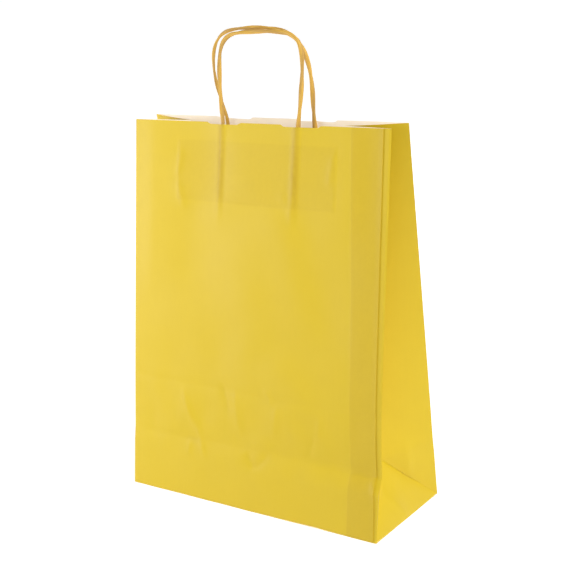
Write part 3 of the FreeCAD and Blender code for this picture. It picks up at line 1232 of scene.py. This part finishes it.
# %% [markdown]
# ## The bottom
#
# The tube's lower end is folded flat: the two short sides turn in first, then the two long flaps are glued
# over them, one over the other. The tucks have slanted sides because each pulls a corner of the long flaps
# in with it.

# %% The bottom's four flaps
BOTTOM_OVERLAP = 30 * MM
FLAP_REACH = HALF_DEPTH + BOTTOM_OVERLAP / 2
FLAP_SPAN = HALF_WIDTH - 0.2 * MM
REAR_FLAP_LEVEL = 1.35 * PAPER
TUCK_LEVEL = 2.7 * PAPER
TUCK_DEPTH = 46 * MM
BOTTOM_WAVES = 0.06 * MM
FREE_EDGE_ZONE = 20 * MM
TUCK_EDGE_ZONE = HALF_WIDTH - TUCK_DEPTH + 6 * MM


def bottom_height(level, across, reach):
    """Height above the ground: the flap's level and the slightest waviness."""
    waves = waviness(across, reach, 2.2 + level * 900, 40 * MM)
    return level + BOTTOM_WAVES * (waves + 1) * 0.5


def long_flap(side, level):
    """A flap along a wide wall, from its fold to past the bottom's middle."""

    def place(across, reach):
        height = bottom_height(level, across, reach)
        return np.stack([across, side * (HALF_DEPTH - reach), height], -1)

    return place


def short_tuck(hand):
    """A tuck along a short side, narrower the farther it reaches in."""

    def place(share, reach):
        height = bottom_height(TUCK_LEVEL, share, reach)
        return np.stack([hand * (HALF_WIDTH - reach), share * (HALF_DEPTH - reach), height], -1)

    return place


bottoms = {}
for name, side, level in (("bottom_front_flap", -1, 0), ("bottom_rear_flap", 1, REAR_FLAP_LEVEL)):
    bottoms[name] = folded_grid(
        name + "_paper", spaced(-FLAP_SPAN, FLAP_SPAN, step=8 * MM), spaced(0, FLAP_REACH, step=6 * MM),
        long_flap(side, level), (0, 0, -1), [gusset_paper, white_paper],
        white_rim=lambda point, normal: abs(point.y) < FREE_EDGE_ZONE,
    )
for name, hand in (("bottom_left_tuck", -1), ("bottom_right_tuck", 1)):
    bottoms[name] = folded_grid(
        name + "_paper", spaced(-0.98, 0.98, step=0.1), spaced(0.2 * MM, TUCK_DEPTH, step=4 * MM),
        short_tuck(hand), (0, 0, -1), [gusset_paper, white_paper],
        white_rim=lambda point, normal: abs(point.x) < TUCK_EDGE_ZONE,
    )

# %% [markdown]
# ## The glued strips
#
# A cord can't be glued to thin paper along a line: it would tear out. So each pair of cord ends is glued
# between two strips of kraft, and the strips to the wall. The outer strip lies flat, and the inner one is
# pressed down over the cord ends, so it shows a ridge over each.

# %% The glued strips
RIDGE_HEIGHT = 3.6 * MM
RIDGE_FLAT = 1.1 * MM
RIDGE_FLANK = 3.6 * MM
RIDGE_REACH = 5 * MM
STRIP_RIPPLE = 0.12 * MM
STRIP_STEP = 1.2 * MM
OUTER_STRIP_DEPTH = 1.1 * PAPER
INNER_STRIP_DEPTH = 2.2 * PAPER


def outer_strip_place(wall):
    """The outer strip follows the wall."""
    return lambda across, up: wall.points(across, up, OUTER_STRIP_DEPTH - relief(wall, across, up))


def inner_strip_place(wall):
    """The inner strip ripples a little and rises over each cord end."""

    def place(across, up):
        rise = STRIP_RIPPLE * (waviness(across, up, 14.0 + wall.side, 9 * MM) + 1)
        for leg in leg_places(wall):
            off = np.abs(across - leg)
            rise = rise + RIDGE_HEIGHT * (1 - smooth((off - RIDGE_FLAT) / RIDGE_FLANK))
        level = wall.points(across, up, INNER_STRIP_DEPTH - relief(wall, across, up))
        return level + np.array(wall.inward) * rise[..., None]

    return place


def strip_columns(wall):
    """Places across a strip, with grid lines along each cord end and beside it."""
    knots = [leg + off for leg in leg_places(wall) for off in (-RIDGE_REACH, 0, RIDGE_REACH)]
    return spaced(-PATCH_WIDTH / 2, *knots, PATCH_WIDTH / 2, step=STRIP_STEP)


def glue_strip(wall, layer, place):
    """Makes one strip of kraft and keeps it under its wall's name and its layer."""
    strips[wall.name, layer] = folded_grid(
        f"{wall.name}_strip_{layer}", strip_columns(wall), spaced(PATCH_LOW, PATCH_HIGH), place,
        -wall.inward, [strip_paper, strip_paper],
    )


strips = {}
print(f"the inner strips rise {RIDGE_HEIGHT * 1000:.1f} mm over each cord end")

# %% The cords' glued ends
ENDS_START = PATCH_LOW + 1 * MM
ENDS_STOP = PATCH_HIGH - 5 * MM


def glued_ends(wall):
    """Both ends of one cord, as one piece between the wall's two strips."""
    heights = np.arange(ENDS_START, ENDS_STOP, RING_STEP)
    ends = []
    for leg, side_name in zip(leg_places(wall), ("left", "right")):
        line = wall.points(np.full(heights.shape, leg), heights, CORD_DEPTH - relief(wall, leg, heights))
        ends.append(twisted_cord(f"{wall.name}_glued_end_{side_name}", line))
    only(ends[0])
    ends[1].select_set(True)
    bpy.ops.object.join()
    piece = ends[0]
    piece.name = f"{wall.name}_glued_ends"
    piece.data.materials.append(cord_finish)
    print(piece.name, len(piece.data.polygons), "faces")
    return piece


cord_ends = {}
for wall in WALLS:
    glue_strip(wall, "outer", outer_strip_place(wall))
    glue_strip(wall, "inner", inner_strip_place(wall))
    cord_ends[wall.name] = glued_ends(wall)

# %% [markdown]
# ## What moves with what
#
# Each sheet except the half gussets now rides on the body of the part that it stands for. A half gusset is
# one sheet with its wall: its foot barely turns against the wall while its top swings open. Here the half
# gussets are only baked where they stand, and ride on no body.

# %% Tie the sheets to the model and bake the half gussets in place
for wall in WALLS:
    name = wall.name
    panel = front_wall if wall is FRONT else rear_wall
    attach(panel, wall.body)
    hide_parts(name + "_panel")
    for layer in ("outer", "inner"):
        strip = strips[name, layer]
        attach(strip, wall.body)
        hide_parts(f"{name}_patch_{layer}")
    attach(cord_ends[name], wall.body)
    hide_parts(name + "_cord_ends")
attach(seam_flap, "front_wall")
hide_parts("side_seam_flap")
for name, flap in bottoms.items():
    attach(flap, "base")
    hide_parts(name)
for side_name, triangle in triangles.items():
    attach(triangle, side_name + "_base_triangle")
    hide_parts(side_name + "_base_triangle")
for (side_name, wall_name), half in gussets.items():
    body = f"{side_name}_gusset_{wall_name}"
    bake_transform(half)
    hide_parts(body + "_half")
print(len(strips) + len(cord_ends) + len(bottoms) + len(triangles) + len(gussets) + 3, "pieces tied")

# %% [markdown]
# ## How a handle folds
#
# A handle turns about the top edge of its wall. The cord itself bends there, and the part of it that lies
# behind the wall stays put. Here each cord is baked where it stands and takes the place of the model's
# cord, and the point where it leaves the wall is printed.

# %% Bake the handles in place of the model's cords
BEND_REACH = 3 * MM
for wall in WALLS:
    cord = handles[wall.name]
    line, length = handle_lines[wall.name]
    left = leg_places(wall)[0]
    below = wall.point(left, wall.height - BEND_REACH, CORD_DEPTH)
    above = wall.point(left, wall.height + BEND_REACH, CORD_DEPTH)
    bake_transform(cord)
    exit_point = wall.point(left, PATCH_HIGH, CORD_DEPTH)
    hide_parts(wall.name + "_handle_cord")
    print(cord.name, "leaves the wall at", [round(c, 4) for c in exit_point])

# %% [markdown]
# ## Floor and light
#
# The bag stands on a white floor in a bright studio. A small lamp low at the left grazes the front, so that
# its wrinkles and ridges show. A lamp high at the right lights the side, and one behind lights the rear
# and the mouth. The surroundings are bright near the floor and dark above, because light from all sides
# would make the paper look flat.

# %% Floor and surroundings
FLOOR_SIZE = 60.0
FLOOR_DROP = 0.4 * MM
FLOOR_GREY = (0.6, 0.6, 0.6, 1)
NEAR_GLOW = (0.76, 0.76, 0.76, 1)
WHITE = (1, 1, 1, 1)
HORIZON_LIGHT = 0.95
SKY_LIGHT = 0.1


def white_floor():
    """A floor that glows more the farther it is from the bag, and so is white beyond the lamps' reach."""
    bpy.ops.object.select_all(action="DESELECT")
    bpy.ops.mesh.primitive_plane_add(size=FLOOR_SIZE, location=(0, 0, -FLOOR_DROP))
    floor = bpy.context.object
    floor.name = "floor"
    bpy.ops.object.transform_apply(location=True, rotation=False, scale=False)
    finish = Finish("white_floor")
    place = finish.node("ShaderNodeTexCoord", output="Object")
    far = finish.node("ShaderNodeVectorMath", {"operation": "LENGTH"}, {0: place}, 1)
    glow = finish.mix(far.rises(0.4, 2.5), NEAR_GLOW, WHITE)
    finish.surface(Base_Color=FLOOR_GREY, Roughness=0.9, Emission_Color=glow, Emission_Strength=0.9)
    floor.data.materials.append(finish.material)


def surroundings():
    """A studio that is bright near the floor and dark above."""
    world = bpy.data.worlds.new("surroundings")
    world.use_nodes = True
    nodes, links = world.node_tree.nodes, world.node_tree.links
    direction = nodes.new("ShaderNodeTexCoord")
    parts = nodes.new("ShaderNodeSeparateXYZ")
    fade = nodes.new("ShaderNodeMapRange")
    fade.interpolation_type = "SMOOTHSTEP"
    fade.inputs["From Min"].default_value = 0.2
    fade.inputs["From Max"].default_value = 0.4
    fade.inputs["To Min"].default_value = HORIZON_LIGHT
    fade.inputs["To Max"].default_value = SKY_LIGHT
    links.new(direction.outputs["Generated"], parts.inputs["Vector"])
    links.new(parts.outputs["Z"], fade.inputs["Value"])
    links.new(fade.outputs["Result"], nodes["Background"].inputs["Strength"])
    nodes["Background"].inputs["Color"].default_value = WHITE
    bpy.context.scene.world = world


white_floor()
surroundings()
print("light near the floor", HORIZON_LIGHT, "and above", SKY_LIGHT)

# %% Lamps
BAG_MIDDLE = (0, 0, 0.15)


def soft_lamp(name, place, target, size, power):
    """A square area lamp, so many metres wide and so many watts strong, that faces its target."""
    data = bpy.data.lights.new(name, "AREA")
    data.size = size
    data.energy = power
    lamp = bpy.data.objects.new(name, data)
    bpy.context.scene.collection.objects.link(lamp)
    lamp.location = place
    lamp.rotation_euler = (Vector(target) - Vector(place)).to_track_quat("-Z", "Y").to_euler()
    lamp.visible_camera = False


soft_lamp("key lamp", (-0.66, -0.46, 0.30), (-0.02, -0.03, 0.16), 0.35, 3.5)
soft_lamp("side lamp", (1.4, -0.25, 1.9), BAG_MIDDLE, 0.8, 46)
soft_lamp("back lamp", (-0.9, 1.5, 0.9), BAG_MIDDLE, 0.8, 14)
bpy.context.scene.view_settings.view_transform = "Standard"
